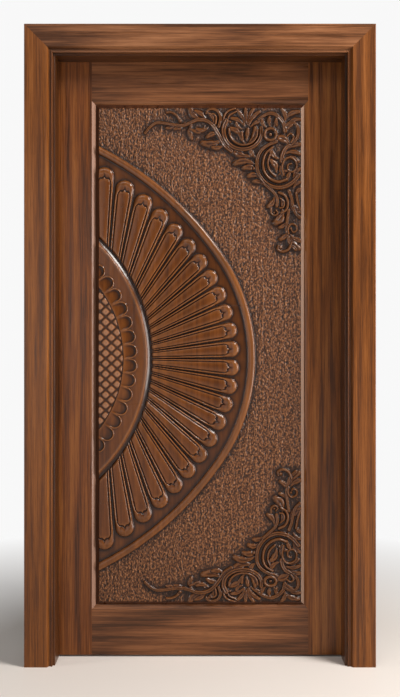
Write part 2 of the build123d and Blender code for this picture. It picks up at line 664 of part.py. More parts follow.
def build():
    """Every separate piece of the door, by name."""
    front_leg, front_head = casing(front_casing_section(), CASING_INNER_X, CASING_INNER_Z, JAMB_FRONT_Y, -1)
    rear_leg, rear_head = casing(rear_casing_section(), REAR_CASING_X, REAR_CASING_Z, JAMB_REAR_Y, 1)
    border = leaf_border()
    bottom_heights, top_heights = tenon_heights()
    parts = {
        "jamb_left": hinge_jamb(),
        "jamb_right": side_jamb(),
        "head_jamb": head_jamb(),
        "front_casing_left": mirror(front_leg, about=Plane.YZ),
        "front_casing_right": front_leg,
        "front_casing_head": front_head,
        "rear_casing_left": mirror(rear_leg, about=Plane.YZ),
        "rear_casing_right": rear_leg,
        "rear_casing_head": rear_head,
        "stile_left": hinge_stile(border),
        "stile_right": stile(border),
        "top_rail": rail(border, LEAF_TOP, STICKING_TOP, LIGHT_TOP, top_heights),
        "bottom_rail": rail(border, LEAF_BOTTOM, STICKING_BOTTOM, LIGHT_BOTTOM, bottom_heights),
        "carved_panel": carved_panel(),
    }
    for name, z in HINGE_CENTRES.items():
        parts[f"frame_flap_{name}"] = flap(z, -REBATE_X, 1, 0)
        parts[f"leaf_flap_{name}"] = flap(z, -LEAF_X, -1, 1)
        parts[f"hinge_pin_{name}"] = hinge_pin(z)
    return parts


os.makedirs("parts", exist_ok=True)
for node, shape in build().items():
    export_step(shape, f"parts/{node}.step")
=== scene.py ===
import math
import bpy
import numpy as np
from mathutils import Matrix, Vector


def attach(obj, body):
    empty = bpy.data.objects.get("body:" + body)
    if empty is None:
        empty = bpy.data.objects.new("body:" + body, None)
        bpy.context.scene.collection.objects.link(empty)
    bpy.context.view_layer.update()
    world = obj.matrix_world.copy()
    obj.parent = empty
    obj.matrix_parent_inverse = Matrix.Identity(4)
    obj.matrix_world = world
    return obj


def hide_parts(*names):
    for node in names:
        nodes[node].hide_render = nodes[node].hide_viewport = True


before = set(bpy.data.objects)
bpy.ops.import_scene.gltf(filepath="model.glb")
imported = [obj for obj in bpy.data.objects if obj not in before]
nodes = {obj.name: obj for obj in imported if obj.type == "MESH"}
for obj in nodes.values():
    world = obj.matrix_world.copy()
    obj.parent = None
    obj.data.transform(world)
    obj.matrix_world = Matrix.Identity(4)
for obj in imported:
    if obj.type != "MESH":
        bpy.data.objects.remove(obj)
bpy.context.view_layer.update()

# Carved temple door: the dressed model. The carving is worked out in millimetres as a height above
# the ground of the panel, over X and Z, and everything is written to Blender in metres.

MM = 0.001

# Panel, as in the CAD
GROUND_Y = 29.0
FIELD_X = 358.0
FIELD_BOTTOM = 194.0
FIELD_TOP = 1943.0
SHOULDER_X = 369.5
SHOULDER_BOTTOM = 182.5
SHOULDER_TOP = 1954.5
SHOULDER_Y = 36.0
TONGUE_OUT = 11.5
TONGUE_FRONT_Y = 40.2
TONGUE_REAR_Y = 51.8
REAR_SHOULDER_Y = 52.0
REAR_FIELD_IN = 39.5
REAR_FIELD_Y = 62.0
BACKING_Y = 33.0  # back of the carving tiles, and floor of the recess for them in the board

# Half sunburst: ring, layout of the fan, boss, scallops and lattice as in the CAD. The petals' rims and
# pockets are drawn a little fuller than there
SUN_Z = 1056.0
RING_CROWN_R = 622.0
RING_CROWN_X = 169.0 - RING_CROWN_R
RING_FLANK_R = 1137.0
RING_HALF_ANGLE = math.radians(34.0)
RING_HALF_WIDTH = 13.5
RING_HEIGHT = 8.0
PETAL_COUNT = 24
FOCUS_X = -351.0
PETAL_PITCH = 8.2
PETAL_PITCH_LOSS = 1.4
PETAL_RING_GAP = 30.0
PETAL_FILL = 0.89
POCKET_FILL = 0.66
PETAL_LIP = 33.0
PETAL_FLOOR = 2.0
PETAL_RIM = 6.4
PETAL_TIP_RISE = 1.8
PETAL_TIP_RUN = 15.0
TONGUE_RISE = 4.6
TONGUE_CUSHION = 1.2
POCKET_BACK = 8.0
POCKET_CUSP = 11.0
POCKET_CUSP_SHARE = 0.17
POCKET_BULGE = 3.0
POCKET_BULGE_AT = 0.62
POCKET_BULGE_SHARE = 0.22
POCKET_ROUNDING = 0.6
POCKET_ROUNDING_POWER = 4.5
POCKET_END_SLOPE = 0.85
PETAL_FOOT_RUN = 12.0
PETAL_FOOT_START = 0.15
BOSS_R = 579.0
BOSS_X = -173.0 - BOSS_R
BOSS_EDGE = 16.0
BOSS_HEIGHT = 10.0
BOSS_EDGE_CURVE = 1.5
BOSS_LIP = 0.9
BOSS_LIP_WIDTH = 8.0
BELOW_GROUND = -1.0
SCALLOP_COUNT = 14
SCALLOP_CIRCLE_R = 469.0
SCALLOP_X = -247.0 - SCALLOP_CIRCLE_R
SCALLOP_R = 26.0
SCALLOP_PITCH = 51.5
SCALLOP_HEIGHT = 3.5
SCALLOP_HOLLOW_R = 24.0
SCALLOP_HOLLOW_DEPTH = 5.6
SCALLOP_HOLLOW_EDGE = 5.0
SCALLOP_HOLLOW_BACK = 34.0
SCALLOP_HOLLOW_RUN = 52.0
SCALLOP_LIP = 2.0
LATTICE_R = 407.0
LATTICE_X = -271.0 - LATTICE_R
LATTICE_DEPTH = 4.0
LATTICE_PITCH_X = 40.5
LATTICE_PITCH_Z = 36.7
LATTICE_CELL_X = -334.0
LATTICE_CELL_Z = 1038.0
CUSHION_POWER = 2.4
SUNK_DEPTH = 1.1
SUNK_HALF = 0.15
SUNK_EDGE = 0.06


# The board that the heights are worked out on: closer columns where the petals are narrow

FINE_TO_X = -60.0
FINE_COLUMNS = 187
WIDE_COLUMNS = 210
ROWS = 921
xs = np.concatenate([
    np.linspace(-FIELD_X, FINE_TO_X, FINE_COLUMNS)[:-1],
    np.linspace(FINE_TO_X, FIELD_X, WIDE_COLUMNS),
])
zs = np.linspace(FIELD_BOTTOM, FIELD_TOP, ROWS)
X, Z = np.meshgrid(xs, zs)


def smooth(t):
    """A soft step from 0 to 1."""
    t = np.clip(t, 0.0, 1.0)
    return t * t * (3 - 2 * t)


def dome(t):
    """A half-round hump over t from 0 to 1."""
    return np.sqrt(np.clip(1 - (2 * np.clip(t, 0, 1) - 1) ** 2, 0, 1))


def blur(field, sigma_rows, sigma_cols):
    """A Gaussian blur over the board, in cells."""
    rows = np.fft.fftfreq(2 * field.shape[0])
    cols = np.fft.rfftfreq(2 * field.shape[1])
    padded = np.pad(field, ((0, field.shape[0]), (0, field.shape[1])), mode="symmetric")
    gain = np.exp(-2 * (np.pi * sigma_rows * rows[:, None]) ** 2)
    gain = gain * np.exp(-2 * (np.pi * sigma_cols * cols[None, :]) ** 2)
    out = np.fft.irfft2(np.fft.rfft2(padded) * gain, s=padded.shape)
    return out[:field.shape[0], :field.shape[1]]


# Sunburst


def ring_radius(x, z):
    """Distance outside the inner edge of the bead ring; negative within it."""
    dx = x - RING_CROWN_X
    dz = z - SUN_Z
    crown = np.hypot(dx, dz) - RING_CROWN_R
    back = RING_FLANK_R - RING_CROWN_R
    flank_x = RING_CROWN_X - back * math.cos(RING_HALF_ANGLE)
    flank_z = -np.sign(dz) * back * math.sin(RING_HALF_ANGLE)
    flank = np.hypot(x - flank_x, dz - flank_z) - RING_FLANK_R
    return np.where(np.abs(np.arctan2(dz, dx)) <= RING_HALF_ANGLE, crown, flank)


def petal_reach(angle):
    """Where a ray from the focus comes within the gap of the ring."""
    near, far = 100.0, 1500.0
    for _ in range(50):
        middle = (near + far) / 2
        x = FOCUS_X + middle * math.cos(angle)
        z = SUN_Z + middle * math.sin(angle)
        if ring_radius(np.array(x), np.array(z)) > -PETAL_RING_GAP:
            far = middle
        else:
            near = middle
    return near


def petal_height(u, v, reach, half):
    """A petal along u: a rounded rim, spoon-shaped at the tip, round a cushioned tongue with a cusped end."""
    side = np.abs(v)
    a = half * PETAL_FILL
    centre = reach / (1 + math.sin(a))
    radius = reach - centre
    on_tip = (u - centre) * math.cos(a) + side * math.sin(a) > 0
    outer = np.where(on_tip, radius - np.hypot(u - centre, v), u * math.sin(a) - side * math.cos(a))
    b = half * POCKET_FILL
    width = np.maximum(u * math.tan(b), 1.0)
    share = side / width
    cusp = POCKET_CUSP * np.exp(-share / POCKET_CUSP_SHARE)
    bulge = POCKET_BULGE * np.exp(-((share - POCKET_BULGE_AT) / POCKET_BULGE_SHARE) ** 2)
    rounding = POCKET_ROUNDING * width * np.clip(share, 0, 1.4) ** POCKET_ROUNDING_POWER
    end = reach - PETAL_LIP - POCKET_BACK + (cusp + bulge) - rounding
    inner = np.minimum(u * math.sin(b) - side * math.cos(b), (end - u) * POCKET_END_SLOPE)
    t = outer / np.maximum(outer - inner, 0.01)
    crest = PETAL_RIM + PETAL_TIP_RISE * smooth((u - centre) / PETAL_TIP_RUN)
    rim = PETAL_FLOOR * np.clip(t, 0, 1) + crest * dome(t)
    cushion = TONGUE_CUSHION * np.clip(1 - share ** 2, 0, 1) * smooth(inner / 6)
    tongue = PETAL_FLOOR + TONGUE_RISE * smooth((inner - 0.8) / 3.6) + cushion
    return np.where(outer <= 0, 0.0, np.where(inner > 0, tongue, rim))


def petals():
    """The fan of petals, closer together towards its two ends."""
    fan = np.zeros_like(X)
    r = np.hypot(X - FOCUS_X, Z - SUN_Z)
    theta = np.arctan2(Z - SUN_Z, X - FOCUS_X)
    last = (PETAL_COUNT - 1) / 2
    for index in range(PETAL_COUNT):
        step = last - index
        angle = math.radians(PETAL_PITCH * step - PETAL_PITCH_LOSS * step ** 3 / (3 * last ** 2))
        half = math.radians(PETAL_PITCH - PETAL_PITCH_LOSS * (step / last) ** 2) / 2
        reach = petal_reach(angle)
        turn = theta - angle
        near = (np.abs(turn) < half) & (r < reach + 2)
        u = r[near] * np.cos(turn[near])
        v = r[near] * np.sin(turn[near])
        fan[near] = petal_height(u, v, reach, half)
    return fan


def boss():
    """The raised middle: a hollow slope that ends in a small lip, then a plain band."""
    inside = BOSS_R - np.hypot(X - BOSS_X, Z - SUN_Z)
    rise = np.clip(inside / BOSS_EDGE, 0, 1) ** BOSS_EDGE_CURVE
    lip = BOSS_LIP * dome(np.clip((inside - BOSS_EDGE + 2) / BOSS_LIP_WIDTH, 0, 1))
    return np.where(inside > 0, BOSS_HEIGHT * rise + lip, BELOW_GROUND)


def scallops(base):
    """The lobed layer with a thumb-shaped hollow in each lobe."""
    inside = SCALLOP_CIRCLE_R - np.hypot(X - SCALLOP_X, Z - SUN_Z)
    hollow = np.zeros_like(X)
    for index in range(SCALLOP_COUNT):
        angle = (index - (SCALLOP_COUNT - 1) / 2) * SCALLOP_PITCH / SCALLOP_CIRCLE_R
        cx = SCALLOP_X + SCALLOP_CIRCLE_R * math.cos(angle)
        cz = SUN_Z + SCALLOP_CIRCLE_R * math.sin(angle)
        inside = np.maximum(inside, SCALLOP_R - np.hypot(X - cx, Z - cz))
        along = (X - cx) * math.cos(angle) + (Z - cz) * math.sin(angle)
        across = -(X - cx) * math.sin(angle) + (Z - cz) * math.cos(angle)
        outline = SCALLOP_HOLLOW_R - np.hypot(np.maximum(along, 0), across)
        sink = smooth((along + SCALLOP_HOLLOW_BACK) / SCALLOP_HOLLOW_RUN)
        depth = smooth(outline / SCALLOP_HOLLOW_EDGE) * sink
        hollow = np.maximum(hollow, SCALLOP_HOLLOW_DEPTH * depth)
    lip = smooth(inside / SCALLOP_LIP)
    return np.where(inside > 0, base + SCALLOP_HEIGHT * lip - hollow, base)


def lattice(base):
    """Cushioned diamonds in a round recess, each with a small sunk diamond in its middle."""
    inside = LATTICE_R - np.hypot(X - LATTICE_X, Z - SUN_Z)
    p = (X - LATTICE_CELL_X) / LATTICE_PITCH_X
    q = (Z - LATTICE_CELL_Z) / LATTICE_PITCH_Z
    a = p + q - np.round(p + q)
    b = p - q - np.round(p - q)
    cushion = (1 - np.abs(2 * a) ** CUSHION_POWER) * (1 - np.abs(2 * b) ** CUSHION_POWER)
    sunk = smooth((SUNK_HALF - np.maximum(np.abs(a), np.abs(b))) / SUNK_EDGE)
    floor = BOSS_HEIGHT + SCALLOP_HEIGHT - LATTICE_DEPTH
    top = floor + LATTICE_DEPTH * cushion - SUNK_DEPTH * sunk
    edge = smooth(np.abs(inside - 1.5) / 2.5)
    return np.where(inside > 0, floor + (top - floor) * edge, base)


ring_out = ring_radius(X, Z)
ring = RING_HEIGHT * dome(ring_out / (2 * RING_HALF_WIDTH))
inside_ring = ring_out < 2 * RING_HALF_WIDTH
boss_gap = np.hypot(X - BOSS_X, Z - SUN_Z) - BOSS_R
fan = petals() * smooth(boss_gap / PETAL_FOOT_RUN + PETAL_FOOT_START)
middle = lattice(scallops(boss()))
sunburst = np.maximum(np.maximum(ring, fan), middle)
height = sunburst.copy()
polish = np.where(inside_ring, 1.0, 0.0)


# Scrollwork, drawn in units inwards and down from the field's top right corner
# A strand: points, first and last width, height, ridges. A leaf: root, tip, width, bend, height.
# A bead: centre, radius, height.

SCROLL_UNIT = 3.55
SCROLL_LIFT = 1.2
MOAT = 0.9
FAR = 9.0
LEAST_HALF_WIDTH = 0.4
LEAF_STEPS = 12
LEAF_HOOK = 1.6
LEAF_TEETH = 0.30
LEAF_VEIN = 0.42
LEAF_RIBS = 0.10
LOWER_SQUEEZE = 0.78
LOWER_TURN = 182.0
LOWER_SHIFT = 40.0


def window(x0, x1, z0, z1):
    """The part of the board that covers a box."""
    c0, c1 = np.searchsorted(xs, (x0, x1))
    r0, r1 = np.searchsorted(zs, (z0, z1))
    return slice(max(r0 - 1, 0), r1 + 1), slice(max(c0 - 1, 0), c1 + 1)


def nearest(points, widths, area):
    """For each place of an area: distance from a line over its half width there, and position along it."""
    x = X[area]
    z = Z[area]
    best = np.full(x.shape, FAR)
    place = np.zeros_like(x)
    for index in range(len(points) - 1):
        (x0, z0), (x1, z1) = points[index], points[index + 1]
        dx, dz = x1 - x0, z1 - z0
        t = np.clip(((x - x0) * dx + (z - z0) * dz) / (dx * dx + dz * dz), 0, 1)
        half = np.maximum(widths[index] + (widths[index + 1] - widths[index]) * t, LEAST_HALF_WIDTH)
        ratio = np.hypot(x - x0 - t * dx, z - z0 - t * dz) / half
        closer = ratio < best
        best = np.where(closer, ratio, best)
        place = np.where(closer, (index + t) / (len(points) - 1), place)
    return best, place


def stamp(area, ratio, raised, half):
    """Sets a form on the board, over what is there, with a narrow cut round it."""
    gap = (ratio - 1) * half / MOAT
    under = height[area] * np.where(ratio < 1, 0.0, 0.3 + 0.7 * smooth(gap))
    height[area] = np.where(ratio < 1, np.maximum(SCROLL_LIFT * raised, 0.35 * height[area]), under)
    polish[area] = np.maximum(polish[area], smooth((2.2 - np.maximum(ratio, 1)) / 1.2))


def spline(points, steps=6):
    """A smooth line through points."""
    points = np.asarray(points, dtype=float)
    padded = np.concatenate([[2 * points[0] - points[1]], points, [2 * points[-1] - points[-2]]])
    line = []
    for index in range(1, len(padded) - 2):
        a, b, c, d = padded[index - 1:index + 3]
        for step in range(steps):
            t = step / steps
            line.append(0.5 * (2 * b + (c - a) * t + (2 * a - 5 * b + 4 * c - d) * t ** 2
                               + (3 * b - a - 3 * c + d) * t ** 3))
    return np.array(line + [points[-1]])


def area_round(points, reach):
    """The part of the board within reach of a line."""
    return window(points[:, 0].min() - reach, points[:, 0].max() + reach,
                  points[:, 1].min() - reach, points[:, 1].max() + reach)


def strand(place, drawn, w0, w1, tall, ridges):
    """A strand along a smooth line, with one rounded ridge or two with a gouged hollow between."""
    line = spline([place(u * SCROLL_UNIT, v * SCROLL_UNIT) for u, v in drawn])
    widths = np.linspace(w0, w1, len(line)) * SCROLL_UNIT / 2
    area = area_round(line, widths.max() * 2.5 + 3)
    ratio, _ = nearest(line, widths, area)
    body = np.sqrt(np.clip(1 - ratio ** 2, 0, 1))
    if ridges == 2:
        body = body * (0.50 + 0.50 * smooth(ratio / 0.5))
    stamp(area, ratio, tall * body, widths.mean())


def leaf(place, u0, v0, u1, v1, width, bend, tall):
    """A lobe from its root to its round, hooked tip, with a gouged vein and cut edges."""
    length = math.hypot(u1 - u0, v1 - v0)
    across = (-(v1 - v0) / length, (u1 - u0) / length)
    points = []
    widths = []
    for step in range(LEAF_STEPS + 1):
        t = step / LEAF_STEPS
        off = LEAF_HOOK * bend * (math.sin(math.pi * t) - 1.3 * t ** 3)
        u = u0 + (u1 - u0) * t + across[0] * off
        v = v0 + (v1 - v0) * t + across[1] * off
        points.append(place(u * SCROLL_UNIT, v * SCROLL_UNIT))
        swell = 0.30 + 0.70 * math.sin(0.84 * math.pi * t ** 1.5)
        widths.append(width * SCROLL_UNIT / 2 * swell)
    points = np.asarray(points)
    area = area_round(points, width * SCROLL_UNIT)
    ratio, along = nearest(points, widths, area)
    teeth = 1 + LEAF_TEETH * np.abs(np.sin(along * math.pi * 2.5)) * smooth(along / 0.2)
    ratio = ratio * 1.18 / teeth
    body = np.sqrt(np.clip(1 - ratio ** 2, 0, 1))
    vein = LEAF_VEIN * np.exp(-(ratio / 0.24) ** 2) * smooth((1 - along) / 0.3)
    ribs = LEAF_RIBS * np.sin(along * math.pi * 6.0 + ratio * 3.0) * ratio
    stamp(area, ratio, tall * (0.75 + 0.25 * along) * (body - vein - ribs), width * SCROLL_UNIT / 2)


def bead(place, u, v, radius, tall):
    """A round knob."""
    cx, cz = place(u * SCROLL_UNIT, v * SCROLL_UNIT)
    reach = radius * SCROLL_UNIT
    area = window(cx - 2 * reach, cx + 2 * reach, cz - 2 * reach, cz + 2 * reach)
    ratio = np.hypot(X[area] - cx, Z[area] - cz) / reach
    stamp(area, ratio, tall * np.sqrt(np.clip(1 - ratio ** 2, 0, 1)), reach)


def upper(u, v):
    """A place measured from the field's top right corner."""
    return FIELD_X - u, FIELD_TOP - v


def lower(u, v):
    """The same place turned over into the bottom right corner, drawn closer to the edge."""
    return FIELD_X - u, FIELD_BOTTOM + (v * LOWER_SQUEEZE if v < LOWER_TURN else v - LOWER_SHIFT)


STRANDS = [
    (((155.7, 25.0), (150.7, 19.0), (144.7, 15.0), (138.7, 15.0), (126.7, 17.0), (117.7, 17.5),
      (110.7, 15.0), (103.7, 12.0), (95.7, 12.5), (88.7, 17.0), (82.7, 26.0), (76.7, 37.0),
      (69.7, 43.0)), 2.6, 4.6, 8, 2),
    (((134.2, 4.5), (129.7, 4.5), (124.7, 7.5), (121.2, 12.5)), 2.2, 3.0, 7, 1),
    (((94.7, 5.5), (93.2, 2.5), (88.7, 1.0), (83.2, 3.5), (80.5, 10.0), (82.2, 18.5)), 2.2, 3.4, 7.5, 2),
    (((91.2, 8.0), (88.2, 5.8), (84.9, 9.0), (85.5, 16.0)), 1.8, 2.4, 6.5, 1),
    (((77.7, 15.0), (76.7, 8.0), (72.7, 3.0), (65.7, 0.5)), 3.0, 2.0, 6.5, 1),
    (((70.7, 14.0), (73.1, 12.0), (71.7, 7.5), (64.7, 3.5)), 2.2, 2.0, 6.5, 1),
    (((42.7, 11.5), (36.7, 7.5), (29.7, 5.3), (22.7, 9.0), (17.7, 15.5), (16.2, 23.0)), 3.0, 4.6, 7.5, 2),
    (((74.7, 13.0), (77.5, 21.0), (75.7, 31.0), (69.7, 38.0), (61.2, 41.2), (51.7, 40.3), (44.2, 35.5),
      (40.2, 28.0), (39.9, 20.0)), 5.2, 4.0, 9, 2),
    (((72.2, 21.0), (70.7, 28.5), (65.7, 34.5), (57.7, 37.0), (49.7, 34.8), (44.7, 29.0),
      (43.5, 22.0)), 2.6, 2.4, 7.5, 1),
    (((17.2, 19.5), (12.2, 15.3), (6.2, 15.5), (3.1, 21.0), (4.1, 29.5), (9.2, 35.5), (15.2, 40.0),
      (18.5, 46.0), (19.7, 53.0)), 2.6, 4.6, 8, 2),
    (((14.2, 28.5), (10.7, 25.6), (7.5, 29.0), (10.2, 34.5)), 2.0, 2.8, 7, 1),
    (((24.7, 33.5), (33.7, 37.5), (40.7, 43.5), (44.1, 52.0), (43.7, 62.0), (39.7, 70.5), (32.7, 76.8),
      (23.7, 79.5), (14.7, 78.0), (7.7, 73.5), (2.7, 67.5)), 3.4, 4.6, 9, 2),
    (((28.7, 39.5), (35.2, 45.5), (38.1, 54.0), (36.7, 63.5), (31.2, 70.5), (22.7, 73.8),
      (14.7, 71.5)), 2.6, 3.2, 8, 1),
    (((31.2, 47.0), (33.4, 54.0), (31.7, 62.0), (26.2, 67.8)), 2.2, 2.4, 7, 1),
    (((17.7, 67.0), (19.1, 59.0), (16.7, 52.0), (11.2, 49.6), (5.7, 53.0), (4.7, 59.5), (8.7, 63.8),
      (13.2, 61.5), (13.2, 56.8), (9.9, 55.6)), 2.8, 1.8, 7.5, 1),
    (((37.7, 75.0), (32.2, 80.0), (27.2, 84.5), (23.9, 90.5), (24.5, 98.0)), 3.0, 3.4, 8, 2),
    (((30.2, 100.5), (29.7, 105.0), (26.2, 107.3), (23.4, 104.8), (25.1, 102.0)), 2.6, 1.8, 7, 1),
    (((22.2, 84.5), (16.2, 87.5), (13.3, 94.0), (14.7, 101.5), (20.2, 105.0)), 3.0, 2.8, 7.5, 1),
    (((20.7, 90.2), (16.9, 94.0), (17.9, 99.0), (21.5, 99.8)), 2.2, 2.0, 6.5, 1),
    (((12.2, 83.0), (9.7, 90.0), (8.1, 98.0), (5.7, 105.0), (1.2, 109.5)), 3.4, 3.0, 8, 2),
    (((5.2, 85.0), (3.5, 94.0), (0.9, 102.0)), 2.8, 2.6, 7, 1),
    (((12.2, 102.0), (13.7, 110.0), (14.5, 119.0), (13.5, 128.0), (10.7, 136.0),
      (5.2, 141.0)), 3.0, 3.6, 8, 2),
    (((12.7, 125.5), (13.1, 119.5), (9.7, 115.8), (5.1, 117.6), (4.7, 122.4), (8.1, 124.0),
      (9.9, 121.4)), 2.6, 1.8, 7.5, 1),
    (((22.7, 137.8), (23.3, 141.0), (18.7, 143.3), (12.7, 141.0), (9.7, 134.5)), 2.6, 3.0, 7, 1),
    (((24.8, 26.5), (26.5, 30.7), (30.7, 32.4), (34.9, 30.7), (36.6, 26.5), (34.9, 22.3), (30.7, 20.6),
      (26.5, 22.3), (24.8, 26.5)), 3.4, 3.4, 9, 1),
]
LEAVES = [
    (98.7, 12.0, 112.7, 1.0, 7, 1.2, 6),
    (94.7, 13.0, 104.7, 2.0, 5, -0.8, 5.5),
    (115.7, 14.0, 125.7, 22.0, 4, 0.8, 5),
    (123.7, 15.0, 133.7, 21.0, 4, 0.6, 5),
    (108.7, 15.0, 111.2, 30.0, 5.5, -0.8, 7),
    (95.7, 17.0, 108.7, 25.0, 4, 2.2, 6),
    (92.7, 19.0, 103.7, 23.0, 4.5, 1.0, 6.5),
    (79.7, 32.0, 97.7, 37.0, 8, 1.0, 7.5),
    (76.7, 37.0, 88.7, 40.5, 5, 0.6, 6.5),
    (81.7, 27.0, 93.7, 27.0, 5.5, -1.0, 7),
    (87.7, 15.0, 90.7, 5.0, 4.5, -0.8, 6),
    (56.7, 18.0, 68.7, 9.0, 4.6, -0.8, 6.5),
    (56.2, 17.0, 62.7, 2.0, 4.6, -0.6, 7),
    (54.7, 16.0, 55.7, 0.5, 4.6, 0, 7.5),
    (53.2, 17.0, 48.7, 0.5, 4.6, 0.6, 7),
    (52.2, 18.0, 43.2, 3.0, 4.6, 0.8, 7),
    (50.7, 19.0, 39.7, 12.0, 4.4, 0.6, 6.5),
    (55.7, 36.0, 60.7, 25.0, 4.5, 0.8, 6.5),
    (60.7, 30.0, 69.2, 19.0, 6, -1.2, 6.5),
    (58.7, 21.0, 65.7, 15.5, 3.6, 0.6, 6),
    (52.7, 35.0, 44.2, 21.0, 6, -1, 7),
    (54.7, 33.0, 53.2, 21.0, 4.5, 0, 7),
    (33.7, 20.0, 40.7, 12.0, 4.4, 0.8, 6.5),
    (30.7, 19.0, 32.7, 9.5, 4.2, 0.4, 6.5),
    (27.7, 19.0, 24.2, 11.0, 4, -0.4, 6),
    (17.7, 13.0, 3.7, 2.0, 5.5, 1.0, 6.5),
    (16.7, 15.0, 17.7, 1.0, 5, -0.8, 6.5),
    (14.7, 17.0, 1.7, 10.0, 4.5, 0.8, 6.5),
    (11.7, 38.0, 22.7, 28.0, 8, -1.2, 7.5),
    (16.7, 26.0, 10.7, 16.0, 5, 0.8, 6.5),
    (15.7, 42.0, 0.7, 35.0, 5.5, 0.8, 7),
    (16.7, 46.0, 1.7, 44.0, 5, 1.0, 7),
    (17.7, 51.0, 2.7, 51.0, 4.5, 1.2, 6),
    (49.7, 48.0, 68.7, 44.0, 7.5, 1.0, 7),
    (46.7, 56.0, 65.7, 53.0, 7.5, -1.2, 7.5),
    (43.7, 63.0, 56.7, 58.0, 6.5, -1.0, 7),
    (41.7, 70.0, 51.7, 66.0, 6, -1.0, 7),
    (44.7, 50.0, 51.7, 42.0, 5, 0.6, 6.5),
    (37.7, 77.0, 46.7, 72.0, 5, -0.8, 6),
    (21.7, 51.0, 31.7, 43.0, 5.5, 0.8, 7),
    (24.7, 64.0, 28.7, 52.0, 6.5, -0.8, 7.5),
    (18.7, 69.0, 20.7, 58.0, 4, 0.4, 6.5),
    (13.7, 73.0, 11.7, 64.0, 4.5, 0.4, 6.5),
    (7.7, 72.0, 2.7, 60.0, 5, 0.8, 6.5),
    (22.7, 67.0, 14.7, 62.0, 4, 0.4, 6),
    (26.7, 88.0, 31.7, 99.0, 5.5, 0.8, 7),
    (18.7, 102.0, 23.7, 115.0, 9, 1.0, 7.5),
    (20.7, 91.0, 17.7, 99.0, 4.5, 0.6, 6),
    (7.7, 80.0, 1.7, 73.0, 4.5, 0.6, 6),
    (5.7, 87.0, 0.7, 80.0, 4.5, 0.4, 6),
    (10.7, 91.0, 2.7, 105.0, 8, -1.2, 6.5),
    (10.7, 126.0, 0.7, 134.0, 6, -0.8, 7),
    (11.7, 128.0, 3.7, 141.0, 7.5, -1.0, 7),
    (13.7, 122.0, 19.7, 132.0, 5, 0.8, 7),
    (14.7, 113.0, 20.7, 120.0, 4.5, 0.6, 6),
]
BEADS = [
    (30.7, 26.5, 2.0, 4.5),
    (24.9, 16.8, 1.7, 7),
    (120.9, 13.0, 1.9, 7.5),
    (20.7, 139.0, 2.0, 7),
    (47.2, 60.3, 1.8, 7.5),
    (10.4, 120.2, 1.5, 6),
    (26.9, 104.4, 1.3, 6),
]

for spot in (upper, lower):
    for shape in LEAVES:
        leaf(spot, *shape)
    for shape in STRANDS:
        strand(spot, *shape)
    for shape in BEADS:
        bead(spot, *shape)

# The foliage doesn't run over the sunburst
height = np.where(inside_ring, sunburst, height)
polish = np.where(inside_ring, 1.0, polish)


# Ground: short wavy strokes of the chisel, mostly upright

SEED = 7
GROUND_SUNK = 0.3
HAND_UNEVENNESS = 0.06

rng = np.random.default_rng(SEED)


def strokes(long_cells, short_cells):
    """Even-strength noise, blurred by so many cells upwards and across."""
    noise = blur(rng.standard_normal(X.shape), long_cells, short_cells)
    return noise / noise.std()


def ridge_lines(long_cells, short_cells, tall, sharpness, sunk):
    """Ridges where the noise changes sign."""
    return tall * np.exp(-np.abs(strokes(long_cells, short_cells)) * sharpness) - sunk


rough = 1 - smooth(polish)
tool = ridge_lines(1.8, 0.9, 1.9, 1.5, 0.9)
long_cuts = ridge_lines(26.0, 2.4, 1.7, 7.0, 0.2)
pecks = 0.55 * strokes(0.9, 0.8)
waves = 0.25 * strokes(9.0, 9.0)
height = height + rough * (tool + long_cuts + pecks + waves - GROUND_SUNK)
height = height + HAND_UNEVENNESS * (1 - rough) * strokes(3.0, 3.0)

# What the material reads: height against near and wider surroundings, polish, foliage and diamonds
FOLIAGE_GAIN = 2.5
hollowness = height - blur(height, 3.0, 3.2)
shade = height - blur(height, 9.0, 9.0)
foliage = np.clip(FOLIAGE_GAIN * blur(np.where(inside_ring, 0.0, polish), 6.0, 6.0), 0, 1) * ~inside_ring
diamonds = (middle - BOSS_HEIGHT - SCALLOP_HEIGHT + LATTICE_DEPTH) / LATTICE_DEPTH
diamonds = smooth((diamonds - 0.40) / 0.30) * (np.hypot(X - LATTICE_X, Z - SUN_Z) < LATTICE_R)
FIELDS = {"hollow": hollowness, "shade": shade, "polish": polish, "foliage": foliage, "diamonds": diamonds}


# Meshes


def flat_mesh(name, points, faces):
    """A flat-faced mesh object from points in millimetres."""
    mesh = bpy.data.meshes.new(name)
    mesh.from_pydata([(x * MM, y * MM, z * MM) for x, y, z in points], [], faces)
    mesh.update()
    piece = bpy.data.objects.new(name, mesh)
    bpy.context.collection.objects.link(piece)
    return piece


